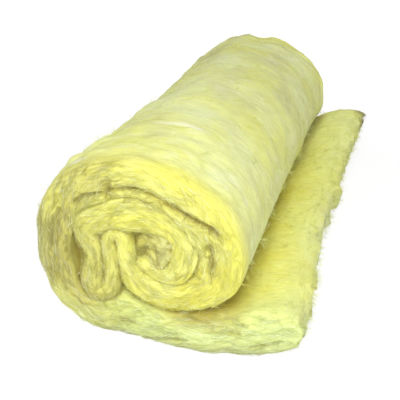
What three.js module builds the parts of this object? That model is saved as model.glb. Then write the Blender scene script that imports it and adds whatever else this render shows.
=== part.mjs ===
// A roll of unfaced glass wool: one blanket, wound loosely from its inner end,
// whose outer end lies unrolled on the floor as a tail.
// Millimetres, +Z up. The roll's axis lies along Y and the tail points to +X.

import * as THREE from 'three';
import { LoftGeometry } from 'three/addons/geometries/LoftGeometry.js';
import { mergeGeometries, mergeVertices } from 'three/addons/utils/BufferGeometryUtils.js';

// Driving dimensions
const blanketWidth = 600;
const looseThickness = 48;
const rollCentre = { x: -6.4, z: 104 };
const rollRadius = { x: 95.9, z: 87 };
const coilCentre = { x: 0, z: 114 };
const coilRadius = { x: 51, z: 45 };
const tailReach = 179;
const floorSink = 2.5;

// Roundings of the cut edges: in the open, inside the roll, where the crumple bulges, on the floor
const openRadius = 17;
const innerRadius = 7;
const bulgeRadius = 14;
const floorRadius = 8;
const roundestShare = 0.44;
const snug = 3.5;

// Stretches of the blanket, as distances from its free end between which something sets in
const looseEnd = [0, 85];
const liftedEnd = [20, 135];
const leavesFloor = [230, 330];
const goesInside = [150, 260];
const coverGoesInside = [720, 800];
const bulge = { starts: [860, 890], ends: [940, 970] };
const liningSnug = { starts: [470, 520], ends: [600, 630] };
const coverSnug = { starts: [1035, 1065], ends: [1150, 1170] };

// How the two cut edges stand back from the full width
const edgeWear = {
  front: 1,
  back: 3,
  nearCorner: 22,
  cornerHollow: 1.5,
  cornerStretch: [0, 70],
  farCornerShare: 0.25,
  eye: 8,
  eyeStretch: [25, 80],
  farEyeShare: 0.7,
  crumple: 3,
  crumpleShare: [0.58, 0.64],
  tailTuck: 3,
  tailTuckStarts: [20, 60],
  tailTuckEnds: [80, 115],
  turnTuck: 4,
  turnTuckStarts: [120, 260],
  wander: [{ size: 2, wave: 47 }, { size: 1.5, wave: 19 }],
  wanderStarts: [150, 260],
};

// How the soft roll sags and sways: sizes at the height of `full`
const slack = {
  full: 200,
  halfWidth: 110,
  sway: [{ size: 2.5, wave: 85, phase: 0.6 }, { size: 1.5, wave: 41, phase: 0 }],
  sag: [{ size: 2, wave: 97, phase: 2.1, side: 1 }, { size: 1.6, wave: 37, phase: 0, side: 2 }],
  leftSide: [-10, 80],
  shoulder: 5,
  shoulderStarts: [-300, -250],
  shoulderEnds: [-240, -140],
  slump: { x: 6, z: 4 },
  slumpStarts: [-240, -130],
  farSpread: { x: 2, side: 6, z: 3 },
  farStarts: [60, 280],
  farFoot: [0, 90],
};

// The free end: a torn edge, bitten back in its near half, with its far corner curled up
const tear = {
  bite: 13,
  nearBite: { least: 0.3, deepens: [-260, -110], ends: [26, 36] },
  farBite: { share: 0.45, starts: [36, 70], ends: [120, 230] },
  raggedness: [{ size: 2.5, wave: 29, phase: 1 }, { size: 1.5, wave: 13, side: 1 }],
  raggedTilt: 9,
  cornerReach: [{ size: 7, from: [200, 300] }, { size: 5, from: [262, 286] }],
  curl: 36,
  curlStarts: [40, 310],
  nearLift: { size: 4, from: [220, 300] },
  farLift: { size: 8, from: [250, 300] },
};

// How the blanket thins to its two ends: down to a share of its thickness, over a length
const thinFreeEnd = { share: 0.6, length: 18 };
const thinInnerEnd = { share: 0.5, length: 14 };

// How finely the surface is divided
const stationStep = 10;
const endSteps = [1.2, 4, 9];
const stepsAcrossFace = 11;
const stepsPerCorner = 2;
const samplesPerPoint = 50;
const mergeTolerance = 0.01;

const woolColour = 0xe4e58a;

const { cos, min, max, round, sin, sqrt } = Math;
const toRadians = THREE.MathUtils.degToRad;

// Rises smoothly from 0 to 1 as a value passes from one limit to the other.
function rise(value, [from, to]) {
  return THREE.MathUtils.smoothstep(value, from, to);
}

// A point of the blanket's route through the roll, seen from the open front:
// where its middle lies, and how thick it is there.
function at(x, z, thickness) {
  return { x, z, thickness };
}

// The points of one round stretch. The angles turn from `from` to `to`, in degrees.
function turn(centre, radius, from, to, thicknesses) {
  const last = thicknesses.length - 1;
  return thicknesses.map((thickness, i) => {
    const angle = toRadians(from + ((to - from) * i) / last);
    return at(centre.x + radius.x * cos(angle), centre.z + radius.z * sin(angle), thickness);
  });
}

// The free end, thick where nothing presses on it, the layer under the roll and up its left side.
const tail = [
  at(tailReach, 26, looseThickness - 2),
  at(145, 26, looseThickness),
  at(110, 24, 46),
  at(70, 22, 41),
  at(30, 19.5, 36),
  at(-15, 18.5, 33),
  at(-56, 17.5, 28),
  at(-87.5, 37.5, 30),
  at(-98.5, 72, 33),
];

const outerTurn = turn(rollCentre, rollRadius, 180, -12, [38.5, 36, 33, 30, 28, 31, 38, 36]);

// Tucked in at the foot of the right side, then back to the left above the tail.
const secondTurn = [
  at(79, 71, 26),
  at(60, 60, 25),
  at(34, 55, 31),
  at(10, 57, 34),
  at(-8, 70, 28),
  at(-14.5, 88, 16),
];

// The left side of the second turn is crumpled: up over a narrow crest, down beside it,
// round the foot of a thick fold, and up again with a kink to the left.
const crumpledSide = [
  at(-17.5, 103, 11),
  at(-19, 117, 8),
  at(-25.5, 124.5, 7.5),
  at(-32, 117, 8),
  at(-32, 103, 12),
  at(-31.5, 84, 13),
  at(-33.5, 63, 16),
  at(-39, 51.5, 20),
  at(-48.5, 46.5, 24),
  at(-58, 52, 26),
  at(-61.5, 66, 28),
  at(-59, 82, 26),
  at(-56.5, 96, 25),
  at(-60, 109, 25),
  at(-63, 122.5, 24),
  at(-55, 135, 25),
];

const innerTurn = turn(coilCentre, coilRadius, 130, -35, [24, 24, 23, 24, 25, 18]);

// The first end to be wound, curled up in the eye of the roll.
const innerEnd = [
  at(25, 83, 16),
  at(10, 88, 17),
  at(2, 102, 19),
  at(4.5, 117, 24),
  at(15, 124, 26),
  at(27, 121, 26),
];

// Distances along the blanket at which it gets a section, closer together at its two ends.
function stationDistances(length) {
  const first = endSteps.at(-1);
  const count = round((length - 2 * first) / stationStep);
  const distances = [0, ...endSteps.slice(0, -1)];
  for (let i = 0; i <= count; i += 1) {
    distances.push(first + ((length - 2 * first) * i) / count);
  }
  const last = endSteps.slice(0, -1).reverse().map((step) => length - step);
  return [...distances, ...last, length];
}

// Stations along the whole blanket, from its free end to the eye.
function blanketStations() {
  const points = [...tail, ...outerTurn, ...secondTurn, ...crumpledSide, ...innerTurn, ...innerEnd];
  const route = new THREE.CatmullRomCurve3(
    points.map((point) => new THREE.Vector3(point.x, point.z, 0)), false, 'catmullrom', 0.5,
  );
  const thickness = new THREE.CatmullRomCurve3(
    points.map((point) => new THREE.Vector3(point.thickness, 0, 0)), false, 'catmullrom', 0.5,
  );
  route.arcLengthDivisions = points.length * samplesPerPoint;
  const length = route.getLength();
  return stationDistances(length).map((distance) => {
    const share = route.getUtoTmapping(distance / length);
    const middle = route.getPoint(share);
    const ahead = route.getTangent(share);
    return {
      distance,
      fromEnd: length - distance,
      x: middle.x,
      z: middle.y,
      ahead: { x: ahead.x, z: ahead.y },
      thickness: thickness.getPoint(share).x,
    };
  });
}

// The sum of some waves at a place along their length.
function waves(parts, place, side = 0) {
  return parts.reduce((sum, part) => {
    const turned = place / part.wave + (part.phase ?? 0) + (part.side ?? 0) * side;
    return sum + part.size * sin(turned);
  }, 0);
}

// How far the blanket's two cut edges stand back from its full width. The tail's near corner
// is worn back, and the eye has slipped a little into the roll.
function edgeInsets({ distance, fromEnd }) {
  const share = distance / (distance + fromEnd);
  const cornerShare = (1 - rise(distance, edgeWear.cornerStretch)) ** edgeWear.cornerHollow;
  const cornerWear = edgeWear.nearCorner * cornerShare;
  const farCornerWear = cornerWear * edgeWear.farCornerShare;
  const eyeSlip = edgeWear.eye * (1 - rise(fromEnd, edgeWear.eyeStretch));
  const crumpleSlip = edgeWear.crumple * rise(share, edgeWear.crumpleShare);
  const wander = waves(edgeWear.wander, distance) * rise(distance, edgeWear.wanderStarts);
  const tailTuck = edgeWear.tailTuck
    * rise(distance, edgeWear.tailTuckStarts) * (1 - rise(distance, edgeWear.tailTuckEnds));
  const turnTuck = edgeWear.turnTuck * rise(distance, edgeWear.turnTuckStarts);
  return {
    front: edgeWear.front + tailTuck + turnTuck + wander + cornerWear + max(eyeSlip, crumpleSlip),
    back: edgeWear.back - wander + farCornerWear + max(eyeSlip * edgeWear.farEyeShare, crumpleSlip),
  };
}

// 1 within a stretch of the blanket and 0 well outside it.
function within(distance, { starts, ends }) {
  return rise(distance, starts) * (1 - rise(distance, ends));
}

// Rounding of the edges on the blanket's outer face, the cover, and its inner face, the lining.
// It is least high on the right, where one turn lies snug on the next.
function edgeRadii(distance, thickness) {
  const cover = floorRadius + (openRadius - floorRadius) * rise(distance, leavesFloor)
    + (innerRadius - openRadius) * rise(distance, coverGoesInside)
    + (bulgeRadius - innerRadius) * within(distance, bulge) - snug * within(distance, coverSnug);
  const lining = openRadius + (innerRadius - openRadius) * rise(distance, goesInside)
    - snug * within(distance, liningSnug);
  const roundest = thickness * roundestShare;
  return { cover: min(cover, roundest), lining: min(lining, roundest) };
}

// One corner of a section, as [along the width, across the thickness].
function sectionCorner(y, across, radius, from) {
  const points = [];
  for (let i = 0; i <= stepsPerCorner; i += 1) {
    const angle = toRadians(from + (90 * i) / stepsPerCorner);
    points.push([y + radius * cos(angle), across + radius * sin(angle)]);
  }
  return points;
}

// The points strictly between two others.
function between(a, b, steps) {
  const points = [];
  for (let i = 1; i < steps; i += 1) {
    const k = i / steps;
    points.push([a[0] + (b[0] - a[0]) * k, a[1] + (b[1] - a[1]) * k]);
  }
  return points;
}

// A section of the blanket: a long rectangle with soft corners.
function blanketSection(front, back, thickness, { cover, lining }) {
  const half = thickness / 2;
  const corners = [
    sectionCorner(back - cover, half - cover, cover, 0),
    sectionCorner(front + cover, half - cover, cover, 90),
    sectionCorner(front + lining, lining - half, lining, 180),
    sectionCorner(back - lining, lining - half, lining, 270),
  ];
  return corners.flatMap((corner, i) => {
    const next = corners[(i + 1) % corners.length];
    const endsAtLongFace = i % 2 === 0;
    return endsAtLongFace ? [...corner, ...between(corner.at(-1), next[0], stepsAcrossFace)] : corner;
  });
}

// The slow unevenness of a soft roll: it sways along its axis, its near left shoulder stands
// proud, the rest of that side slumps and the far end spreads.
function settle(point) {
  const { y } = point;
  const height = point.z / slack.full;
  const side = point.x / slack.halfWidth;
  const leftness = rise(-point.x, slack.leftSide);
  const shoulder = slack.shoulder * leftness
    * rise(y, slack.shoulderStarts) * (1 - rise(y, slack.shoulderEnds));
  const slump = rise(y, slack.slumpStarts) * leftness;
  const farEnd = rise(y, slack.farStarts);
  const foot = rise(point.z, slack.farFoot);
  point.x += height * (waves(slack.sway, y) - shoulder + slack.slump.x * slump);
  point.x += farEnd * foot * (slack.farSpread.x + slack.farSpread.side * side);
  point.z += height * (waves(slack.sag, y, side) + shoulder - slack.slump.z * slump);
  point.z += height * slack.farSpread.z * farEnd;
  return point;
}

// How far the torn edge is bitten back at a place along the width, as a share of the whole bite.
function bittenBack(y) {
  const { nearBite, farBite } = tear;
  const near = nearBite.least + (1 - nearBite.least) * rise(y, nearBite.deepens);
  const far = farBite.share * rise(y, farBite.starts) * (1 - rise(y, farBite.ends));
  return near * (1 - rise(y, nearBite.ends)) + far;
}

// The free end is torn, and curls off the floor at its far corner.
function tearAndCurl(point, distance) {
  const { y, z } = point;
  const { nearLift, farLift } = tear;
  const looseness = 1 - rise(distance, looseEnd);
  const lifted = 1 - rise(distance, liftedEnd);
  const ragged = waves(tear.raggedness, y, z / tear.raggedTilt);
  const cornerReach = tear.cornerReach.reduce((sum, part) => sum + part.size * rise(y, part.from), 0);
  point.x += looseness * (ragged - tear.bite * bittenBack(y) + cornerReach);
  point.z += lifted * tear.curl * rise(y, tear.curlStarts);
  point.z += looseness * (nearLift.size * rise(-y, nearLift.from) + farLift.size * rise(y, farLift.from));
  return point;
}

// The roll rests on a level floor, which flattens what would reach below it.
function restOnFloor(point) {
  point.z = max(point.z, 0);
  return point;
}

// The blanket's two ends are thinner and rounded.
function thinning(fromTip, { share, length }) {
  return share + (1 - share) * sqrt(fromTip / length);
}

// The section at one station, square to the blanket's route.
function sectionAt(station) {
  const { distance, fromEnd, ahead } = station;
  const thinned = min(1, thinning(distance, thinFreeEnd), thinning(fromEnd, thinInnerEnd));
  const thickness = station.thickness * thinned;
  const insets = edgeInsets(station);
  const front = -blanketWidth / 2 + insets.front;
  const back = blanketWidth / 2 - insets.back;
  const section = blanketSection(front, back, thickness, edgeRadii(distance, thickness));
  return section.map(([y, across]) => {
    const x = station.x - ahead.z * across;
    const z = station.z + ahead.x * across - floorSink;
    const point = settle(new THREE.Vector3(x, y, z));
    return restOnFloor(tearAndCurl(point, distance));
  });
}

// Closes one end with a strip of triangles from the cover's side to the lining's side.
// A section starts at its back corner on the cover and ends at its back corner on the lining.
function endCap(section, facesAhead) {
  const last = section.length - 1;
  const triangles = [];
  for (let i = 0; i + 1 < last - i; i += 1) {
    const opposite = last - i;
    triangles.push([i, i + 1, opposite]);
    if (i + 1 < opposite - 1) {
      triangles.push([i + 1, opposite - 1, opposite]);
    }
  }
  const outward = triangles.map((corners) => (facesAhead ? corners : corners.reverse()));
  return new THREE.BufferGeometry().setFromPoints(section).setIndex(outward.flat());
}

function woolBlanket() {
  const sections = blanketStations().map(sectionAt);
  const loft = new LoftGeometry(sections, { closed: true, capStart: false, capEnd: false });
  const skin = new THREE.BufferGeometry().copy(loft);
  skin.deleteAttribute('normal');
  skin.deleteAttribute('uv');
  const caps = [endCap(sections[0], false), endCap(sections.at(-1), true)];
  return mergeVertices(mergeGeometries([skin, ...caps]), mergeTolerance);
}

// The origin is the middle of the underside.
function centreOnFloor(geometry) {
  geometry.computeBoundingBox();
  const box = geometry.boundingBox;
  geometry.translate(-(box.min.x + box.max.x) / 2, -(box.min.y + box.max.y) / 2, -box.min.z);
  geometry.computeVertexNormals();
  return geometry;
}

const wool = new THREE.MeshStandardMaterial({ color: woolColour, roughness: 0.97, metalness: 0 });
const blanket = new THREE.Mesh(centreOnFloor(woolBlanket()), wool);
blanket.name = 'wool_blanket';

const insulationRoll = new THREE.Group();
insulationRoll.add(blanket);

export default insulationRoll;
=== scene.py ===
import math
import random

import bmesh
import bpy
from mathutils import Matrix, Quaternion, Vector, geometry, noise
from mathutils.bvhtree import BVHTree


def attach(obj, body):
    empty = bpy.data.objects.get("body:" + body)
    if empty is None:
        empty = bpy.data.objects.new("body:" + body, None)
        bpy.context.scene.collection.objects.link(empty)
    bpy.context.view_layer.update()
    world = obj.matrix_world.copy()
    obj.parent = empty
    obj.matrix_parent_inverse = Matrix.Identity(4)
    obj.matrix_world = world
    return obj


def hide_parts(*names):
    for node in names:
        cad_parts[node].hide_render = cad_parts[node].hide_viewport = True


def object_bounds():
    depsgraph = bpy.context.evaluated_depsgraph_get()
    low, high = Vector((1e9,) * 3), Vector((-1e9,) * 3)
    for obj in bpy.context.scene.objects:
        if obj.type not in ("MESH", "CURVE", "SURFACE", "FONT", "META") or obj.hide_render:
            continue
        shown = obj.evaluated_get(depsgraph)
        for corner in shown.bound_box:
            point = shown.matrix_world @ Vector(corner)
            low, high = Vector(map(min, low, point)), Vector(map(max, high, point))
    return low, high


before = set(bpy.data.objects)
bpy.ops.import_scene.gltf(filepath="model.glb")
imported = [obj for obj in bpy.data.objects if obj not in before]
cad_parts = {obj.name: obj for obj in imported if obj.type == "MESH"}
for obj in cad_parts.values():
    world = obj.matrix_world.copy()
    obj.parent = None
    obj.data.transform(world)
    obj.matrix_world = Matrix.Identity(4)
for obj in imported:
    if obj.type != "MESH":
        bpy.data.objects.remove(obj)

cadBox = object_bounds()
scene = bpy.context.scene
mm = 0.001


def ramp(x, low, high):
    k = min(max((x - low) / (high - low), 0), 1)
    return k * k * (3 - 2 * k)


# rises over the first two places of the span and falls over the last two
def window(x, span, amount=1):
    return amount * ramp(x, span[0], span[1]) * (1 - ramp(x, span[2], span[3]))


# rises from 0 to the row's amount between the row's two places
def climb(x, row):
    return row[0] * ramp(x, row[1], row[2])


def cellNoise(p, cell, offset):
    return noise.noise(Vector((p.x / cell[0], p.y / cell[1], p.z / cell[2] + offset)))


def addObject(name, data):
    made = bpy.data.objects.new(name, data)
    scene.collection.objects.link(made)
    return made


# the camera, placed before the blanket is moved, looks down on the open end from its right
cameraPlan = {
    "place": (211.6 * mm, -787.6 * mm, 439.8 * mm),
    "azimuth": 16.6,
    "pitch": 27.2,
    "lens": 55.8,
    "sensor": 36.0,
    "clipEnd": 20,
}


def makeCamera(plan, shift):
    data = bpy.data.cameras.new("camera")
    data.lens = plan["lens"]
    data.sensor_width = plan["sensor"]
    data.clip_end = plan["clipEnd"]
    camera = addObject("camera", data)
    camera.location = Vector(plan["place"]) + shift
    camera.rotation_euler = (math.radians(90 - plan["pitch"]), 0, math.radians(plan["azimuth"]))
    scene.camera = camera


# the blanket's route through the roll: x, z and thickness in millimetres, seen from the open end
blanketPlan = {
    "width": 600,
    "tail": [
        (179, 26, 46), (145, 26, 48), (110, 24, 46), (70, 22, 41),
        (30, 19.5, 36), (-15, 18.5, 33), (-56, 17.5, 28), (-87.5, 37.5, 30), (-98.5, 72, 33),
    ],
    "outerTurn": ((-6.4, 104), (95.9, 87), 180, -12, (38.5, 36, 33, 30, 30, 35.5, 41, 37)),
    "secondTurn": [(79, 71, 26), (60, 60, 25), (34, 55, 31), (10, 57, 34), (-8, 70, 28), (-15, 88, 14)],
    "crumpledSide": [
        (-17.5, 103, 11), (-19, 117, 8), (-25.5, 124.5, 7.5), (-32, 117, 8), (-32, 103, 12), (-31.5, 84, 13),
        (-33.5, 63, 16), (-39, 51.5, 20), (-48.5, 46.5, 24), (-57, 51, 26), (-59.5, 63, 26), (-56, 77, 22),
        (-53, 91, 17), (-56.5, 104, 20), (-62, 118, 24), (-56, 133, 25),
    ],
    "innerTurn": ((0, 113), (51, 43), 130, -35, (26, 31, 30, 25, 23, 18)),
    "innerEnd": [
        (26, 83.5, 15), (10, 87.5, 13), (-2, 92.5, 10), (-7, 98.5, 8), (-4, 105, 13), (4, 111.5, 29),
        (16, 113, 38), (35, 110, 40),
    ],
    "routeSteps": 60,  # between two points of the route
    "step": 3.2,  # between stations along the blanket
    "coverRows": 108,
    "liningRows": 76,
    "cornerRows": 4,
    "frontRows": 22,  # across the cut edge
    "backRows": 18,
    "crowding": 0.6,  # how much the rows crowd towards the cut edges
    "floorSink": 2.5,
    "liningHidden": (215, 240),  # from where on each side is wound in
    "coverHidden": (700, 760),
    "eyeOpen": (150, 110),  # and how far before the inner end it shows again
    "hiddenDepth": (12, 24),  # how far in from the cut edges that starts
}


def turn(centre, radius, fromAngle, toAngle, thicknesses):
    points = []
    last = len(thicknesses) - 1
    for i, thickness in enumerate(thicknesses):
        angle = math.radians(fromAngle + (toAngle - fromAngle) * i / last)
        x = centre[0] + radius[0] * math.cos(angle)
        z = centre[1] + radius[1] * math.sin(angle)
        points.append((x, z, thickness))
    return points


# u runs from 0 to the last index
def spline(points, u):
    last = len(points) - 1
    i = min(int(u), last - 1)
    w = u - i
    p1, p2 = points[i], points[i + 1]
    p0 = points[i - 1] if i > 0 else p1 * 2 - p2
    p3 = points[i + 2] if i + 2 <= last else p2 * 2 - p1
    v0 = (p2 - p0) / 2
    v1 = (p3 - p1) / 2
    return (2 * p1 - 2 * p2 + v0 + v1) * w ** 3 + (3 * p2 - 3 * p1 - 2 * v0 - v1) * w ** 2 + v0 * w + p1


# stations evenly spaced along the route, each with its place and thickness
def routeStations(plan):
    points = (plan["tail"] + turn(*plan["outerTurn"]) + plan["secondTurn"] + plan["crumpledSide"]
              + turn(*plan["innerTurn"]) + plan["innerEnd"])
    points = [Vector(p) for p in points]
    steps = plan["routeSteps"]
    fine = [spline(points, u / steps) for u in range((len(points) - 1) * steps + 1)]
    along = [0]
    for a, b in zip(fine, fine[1:]):
        along.append(along[-1] + (b.xy - a.xy).length)
    count = round(along[-1] / plan["step"])
    stations = []
    k = 0
    for i in range(count + 1):
        target = along[-1] * i / count
        while k < len(along) - 2 and along[k + 1] < target:
            k += 1
        w = (target - along[k]) / (along[k + 1] - along[k])
        stations.append(fine[k].lerp(fine[k + 1], w))
    return stations, along[-1]


# how far the cut edges lie inside the full width: how much, then the places along the blanket
edgePlan = {
    "front": 1,
    "back": 3,
    "cornerWear": (15, 85, 1.2),  # at the torn end: how much, how far in, how sudden
    "backWear": 0.25,
    "eyeSlip": (9, (60, 44, 32, 10)),  # places before the inner end
    "backSlip": 0.7,
    "crumpleSlip": (3, 0.58, 0.64),  # places as shares of the length
    "wander": ((2, 47), (1.5, 19)),  # how far, how long a wave
    "wanderSpan": (150, 260),
    "tuck": (3, (20, 60, 80, 115)),
    "underRoll": (4, 120, 260),
    "bulge": (5, (75, 105, 165, 215)),
}


def edgeInsets(distance, length, plan):
    amount, reach, power = plan["cornerWear"]
    cornerWear = amount * (1 - ramp(distance, 0, reach)) ** power
    amount, beforeEnd = plan["eyeSlip"]
    eyeSlip = window(distance, [length - place for place in beforeEnd], amount)
    amount, start, end = plan["crumpleSlip"]
    crumpleSlip = amount * ramp(distance, length * start, length * end)
    wander = sum(far * math.sin(distance / wave) for far, wave in plan["wander"])
    wander *= ramp(distance, *plan["wanderSpan"])
    tuck = window(distance, plan["tuck"][1], plan["tuck"][0]) + climb(distance, plan["underRoll"])
    tuck -= window(distance, plan["bulge"][1], plan["bulge"][0])
    front = plan["front"] + tuck + wander + cornerWear + max(eyeSlip, crumpleSlip)
    back = plan["back"] - wander + cornerWear * plan["backWear"]
    return front, back + max(eyeSlip * plan["backSlip"], crumpleSlip)


# the ring of one section as (y share, across share, corner angle), front at y -1
def sectionRing(plan):
    ring = []
    rows = [(1, 1, 0, plan["coverRows"]), (-1, 1, 90, plan["frontRows"]),
            (-1, -1, 180, plan["liningRows"]), (1, -1, 270, plan["backRows"])]
    for i, (ySide, acrossSide, angle, steps) in enumerate(rows):
        for k in range(plan["cornerRows"] + 1):
            ring.append((ySide, acrossSide, angle + 90 * k / plan["cornerRows"]))
        nextY, nextAcross = rows[(i + 1) % 4][0], rows[(i + 1) % 4][1]
        for k in range(1, steps):
            w = k / steps
            if ySide != nextY:  # a long face
                w = w - plan["crowding"] * math.sin(2 * math.pi * w) / (2 * math.pi)
            ring.append((ySide + (nextY - ySide) * w, acrossSide + (nextAcross - acrossSide) * w, angle + 90))
    return ring


# the slow unevenness of a soft roll: it sways, sags and swells along its axis; how much, then the
# places along y, across x or up z
settlePlan = {
    "height": 200,
    "halfWidth": 110,
    "sway": ((2.5, 85, 0.6), (1.5, 41, 0)),  # how far, how long a wave, where it starts
    "sag": (2, 97, 2.1),
    "ripple": (1.6, 37),
    "leftPart": (-10, 80),
    "shoulder": (-300, -250, -240, -140),  # the near left is higher and further in
    "shoulderPush": (5, 5),
    "slump": (-240, -130),  # behind it the left sinks outwards
    "slumpPush": (6, 4),
    "farEnd": (60, 280),
    "farShift": (2, 6),
    "farShiftHeight": (0, 90),
    "farLift": 3,
    "farRightDrop": (5, 35, 80),
    "dent": (7, 9, 20),  # on top of the far end: depth, x and half width
    "dentSpan": (180, 280),
    "foot": 5,  # how far the near left stands out low down
    "footSpan": (-270, -190),
    "footHeight": (0, 20, 65, 105),
    "footSide": (70, 105),
}


def settle(p, plan):
    height = p.z / plan["height"]
    side = p.x / plan["halfWidth"]
    left = ramp(-p.x, *plan["leftPart"])
    shoulder = window(p.y, plan["shoulder"]) * left
    slump = ramp(p.y, *plan["slump"]) * left
    farEnd = ramp(p.y, *plan["farEnd"])
    sway = sum(far * math.sin(p.y / wave + start) for far, wave, start in plan["sway"])
    (shoulderIn, shoulderUp), (slumpOut, slumpDown) = plan["shoulderPush"], plan["slumpPush"]
    p.x += height * (sway - shoulderIn * shoulder + slumpOut * slump)
    shift, widening = plan["farShift"]
    p.x += farEnd * (shift + widening * side) * ramp(p.z, *plan["farShiftHeight"])
    (sag, sagWave, sagStart), (ripple, rippleWave) = plan["sag"], plan["ripple"]
    p.z += height * (sag * math.sin(p.y / sagWave + sagStart + side)
                     + ripple * math.sin(p.y / rippleWave + side * 2))
    dentDepth, dentX, dentWidth = plan["dent"]
    dent = ramp(p.y, *plan["dentSpan"]) * math.exp(-((p.x - dentX) / dentWidth) ** 2)
    p.z += height * (shoulderUp * shoulder - slumpDown * slump + plan["farLift"] * farEnd - dentDepth * dent
                     - farEnd * climb(p.x, plan["farRightDrop"]))
    low = window(p.z, plan["footHeight"], 1 - ramp(p.y, *plan["footSpan"]))
    p.x -= plan["foot"] * low * ramp(-p.x, *plan["footSide"])


# the free end is torn, bitten back in its near half, and curls off the floor at its far corner;
# how much, then the places along y
tearPlan = {
    "loose": 85,  # how far in from the torn edge it is loose
    "bite": 15,
    "nearBite": (0.65, 0.35, -260, -110),
    "biteEnd": (45, 53),
    "farBite": (0.42, (45, 60, 170, 250)),
    "waves": ((2.5, 29), (1.5, 13)),
    "fray": 6,  # how ragged the torn edge is
    "frayReach": 16,
    "frayCells": ((8, 8), (3.5, 4)),
    "fineFray": 0.6,
    "corner": ((7, 200, 300), (5, 262, 286)),
    "curl": (36, 40, 310),
    "curlReach": (20, 135),
    "nearLift": (4, 220, 300),
    "farLift": (8, 250, 300),
}


def tearAndCurl(p, distance, plan):
    looseness = 1 - ramp(distance, 0, plan["loose"])
    lifted = 1 - ramp(distance, *plan["curlReach"])
    least, more, start, end = plan["nearBite"]
    bite = least + more * ramp(p.y, start, end)
    amount, span = plan["farBite"]
    bite = bite * (1 - ramp(p.y, *plan["biteEnd"])) + window(p.y, span, amount)
    (far, wave), (fineFar, fineWave) = plan["waves"]
    waves = far * math.sin(p.y / wave + 1) + fineFar * math.sin(p.y / fineWave + p.z / 9)
    coarse, fine = plan["frayCells"]
    frayed = noise.noise(Vector((p.y / coarse[0], p.z / coarse[1], 5)))
    frayed += plan["fineFray"] * noise.noise(Vector((p.y / fine[0], p.z / fine[1], 9)))
    p.x += plan["fray"] * frayed * (1 - ramp(distance, 0, plan["frayReach"]))
    corner = sum(climb(p.y, row) for row in plan["corner"])
    p.x += looseness * (waves - plan["bite"] * bite + corner)
    p.z += lifted * climb(p.y, plan["curl"]) + looseness * climb(-p.y, plan["nearLift"])
    p.z += looseness * climb(p.y, plan["farLift"])


# rounding of the cut edges, and the places along the blanket where each radius takes over
roundingPlan = {
    "soft": 17,  # in the open
    "inner": 3.4,  # inside the roll
    "eye": 3,
    "floor": 8,  # under the free end
    "lobe": 9,  # where the crumpled side bulges
    "snug": 1.6,  # how much less where the turns lie snug, high on the right
    "most": 0.44,  # of the thickness
    "offFloor": (230, 330),
    "coverInside": (720, 800),
    "liningInside": (150, 260),
    "lobeSpan": (860, 890, 940, 970),
    "coverSnug": (1035, 1065, 1150, 1170),
    "liningSnug": (470, 520, 600, 630),
    "eyeSpan": (98, 73),  # before the inner end
    "tornEdge": (0.6, 0.4, 18),  # the two ends thin: least share, the rest, over what length
    "innerEdge": (0.5, 0.5, 14),
}


def edgeRadii(distance, length, thickness, plan):
    soft, inner, floor = plan["soft"], plan["inner"], plan["floor"]
    cover = floor + (soft - floor) * ramp(distance, *plan["offFloor"])
    cover += (inner - soft) * ramp(distance, *plan["coverInside"])
    cover += window(distance, plan["lobeSpan"], plan["lobe"] - inner)
    lining = soft + (inner - soft) * ramp(distance, *plan["liningInside"])
    cover -= window(distance, plan["coverSnug"], plan["snug"])
    lining -= window(distance, plan["liningSnug"], plan["snug"])
    inEye = ramp(distance, *[length - place for place in plan["eyeSpan"]])
    most = thickness * plan["most"]
    cover = min(cover + (plan["eye"] - cover) * inEye, most)
    lining = min(lining + (plan["eye"] - lining) * inEye, most)
    return cover, lining


# how far each side swells to meet the next turn: how much, from and to along the blanket, and how
# far in from the cut edges the swelling starts and is full
swellPlan = {
    "pressed": (6, (150, 200), (-5, 4)),
    "brow": (4, (345, 380, 430, 490), (975, 1000, 1075, 1110)),  # more of it high on the left
    "foot": (6.5, (560, 600, 680, 720)),  # and low on the right
    "valley": (225, 265, 345, 380),
    "valleyShares": (0.7, 0.8, (4, 30)),
    "eye": (7, (110, 90), (0, 14)),  # round the eye, before the inner end
    "coverEye": 0.7,
    "wedge": (9, (190, 205, 222, 238), (0, 12)),
    "nook": (13, (925, 950, 975, 990), (-4, 10)),  # beside the crumpled side
    "crest": (2, (765, 790, 850, 875), (-3, 6)),  # between the two sides of its fold
    "pocket": (7, (885, 900, 925, 950), (2, 16)),
}


def localSwell(distance, depth, row):
    amount, span, inward = row
    return amount * window(distance, span) * ramp(depth, *inward)


def swellAt(distance, depth, length, onLining, plan):
    amount, beforeEnd, inward = plan["eye"]
    eye = amount * ramp(distance, *[length - place for place in beforeEnd])
    if not onLining:
        folds = sum(localSwell(distance, depth, plan[key]) for key in ("nook", "crest", "pocket"))
        return plan["coverEye"] * eye * ramp(depth, *inward) + folds
    pressed, pressedSpan, pressedInward = plan["pressed"]
    brow, browSpan, archSpan = plan["brow"]
    foot, footSpan = plan["foot"]
    valley = window(distance, plan["valley"])
    most = (pressed * (1 - valley) + brow * (window(distance, browSpan) + window(distance, archSpan))
            + foot * window(distance, footSpan))
    atEdge = ramp(depth, *pressedInward)
    edgeShare, innerShare, innerInward = plan["valleyShares"]
    swell = ramp(distance, *pressedSpan) * most * atEdge
    swell += pressed * valley * (edgeShare * atEdge + innerShare * ramp(depth, *innerInward))
    swell += eye * ramp(depth, *inward)
    return swell + localSwell(distance, depth, plan["wedge"])


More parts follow.
